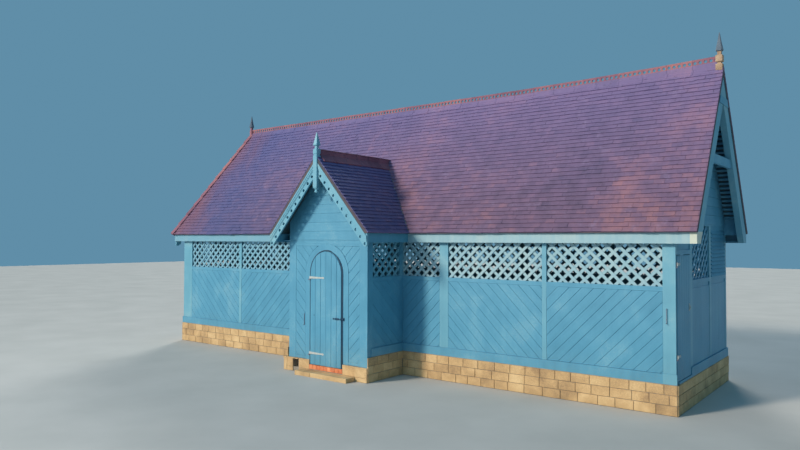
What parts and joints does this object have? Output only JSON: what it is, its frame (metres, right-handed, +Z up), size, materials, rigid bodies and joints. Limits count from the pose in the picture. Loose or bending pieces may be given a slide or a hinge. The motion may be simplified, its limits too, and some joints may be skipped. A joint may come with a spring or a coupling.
{
  "type": "summer house",
  "caption": "Long timber garden building with lattice screens, a steep tiled roof hipped at one end, a gabled porch with pierced bargeboards and two hinged doors.",
  "frame": {"origin": "ground level on the porch axis, in the plane of the main front wall's outer face", "axes": "+X to the right along the front, -Y out of the porch door, +Z up"},
  "size_m": [13.0316, 4.8849, 6.086],
  "materials": {
    "timber": "painted, weathered",
    "floor_boards": "worn boards",
    "roof_tile": "plain clay tiles",
    "ridge_tile": "clay ridge tiles",
    "stone": "weathered blocks",
    "terracotta": "tiles laid on edge",
    "ironwork": "black paint",
    "finial_stone": "weathered"
  },
  "bodies": {
    "house": {"door_step": "stone", "end_lattices": "timber", "end_skirting": "timber", "finials": "finial_stone", "front_lattice": "timber", "front_roof": "roof_tile", "hip_fascia": "timber", "hip_roof": "roof_tile", "hip_tiles": "ridge_tile", "hold_back_hooks": "ironwork", "long_fascias": "timber", "long_skirting": "timber", "main_floor": "floor_boards", "main_ridge": "ridge_tile", "pintles": "ironwork", "plinth": "stone", "porch_bargeboards": "timber", "porch_fascias": "timber", "porch_floor": "floor_boards", "porch_gable": "timber", "porch_ridge": "ridge_tile", "porch_roof_left": "roof_tile", "porch_roof_right": "roof_tile", "porch_side_boarding": "timber", "porch_side_frames": "timber", "porch_side_lattices": "timber", "porch_wall_head": "timber", "porch_wall_left": "timber", "porch_wall_right": "timber", "posts": "timber", "rails": "timber", "rear_lattice_left": "timber", "rear_lattice_right": "timber", "rear_roof": "roof_tile", "right_barge_front": "timber", "right_barge_rear": "timber", "right_collars": "timber", "right_gable": "timber", "side_sill": "timber", "threshold": "terracotta", "wall_boarding": "timber", "wall_plates": "timber"},
    "porch_door_leaf": {"porch_door": "timber", "porch_door_ironwork": "ironwork"},
    "side_door_leaf": {"side_door": "timber", "side_door_ironwork": "ironwork"}
  },
  "joints": [
    {"name": "porch_door_hinge", "type": "hinge", "parent": "house", "child": "porch_door_leaf", "pos_m": [-0.435, -1.077, 0.18], "axis": [0, 0, -1], "range_deg": [0, 165]},
    {"name": "side_door_hinge", "type": "hinge", "parent": "house", "child": "side_door_leaf", "pos_m": [6.157, 0.035, 0.5], "axis": [0, 0, -1], "range_deg": [0, 180]}
  ]
}
